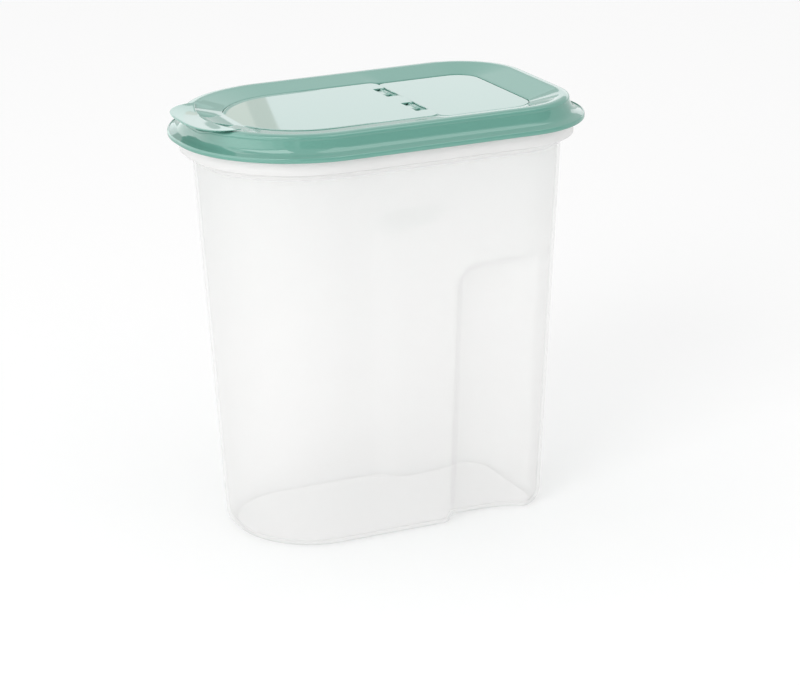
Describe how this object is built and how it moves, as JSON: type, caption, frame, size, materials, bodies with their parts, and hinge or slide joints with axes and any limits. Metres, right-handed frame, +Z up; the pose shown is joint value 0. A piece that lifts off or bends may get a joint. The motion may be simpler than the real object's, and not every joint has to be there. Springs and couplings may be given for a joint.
{
  "type": "dry food container with flip spout",
  "caption": "Tall tapered container with side grip recesses, a press-on lid and a round-fronted pouring flap that swings on a clip hinge by its thumb tab.",
  "frame": {"origin": "on the surface that it stands on, under the middle of the lid's outline", "axes": "+Z up, -X towards the spout and its thumb tab, +Y along the hinge line, across the container"},
  "size_m": [0.185, 0.12, 0.195],
  "materials": {
    "container": "translucent, frosted",
    "lid": "glossy",
    "flap": "glossy"
  },
  "bodies": {
    "container": {"container": "container"},
    "lid": {"lid": "lid"},
    "flap": {"flap": "flap"}
  },
  "joints": [
    {"name": "lid_lift", "type": "slide", "parent": "container", "child": "lid", "axis": [0, 0, 1], "range_m": [0, 0.03]},
    {"name": "flap_hinge", "type": "hinge", "parent": "lid", "child": "flap", "pos_m": [0.0162, 0, 0.1906], "axis": [0, 1, 0], "range_deg": [0, 130]}
  ]
}
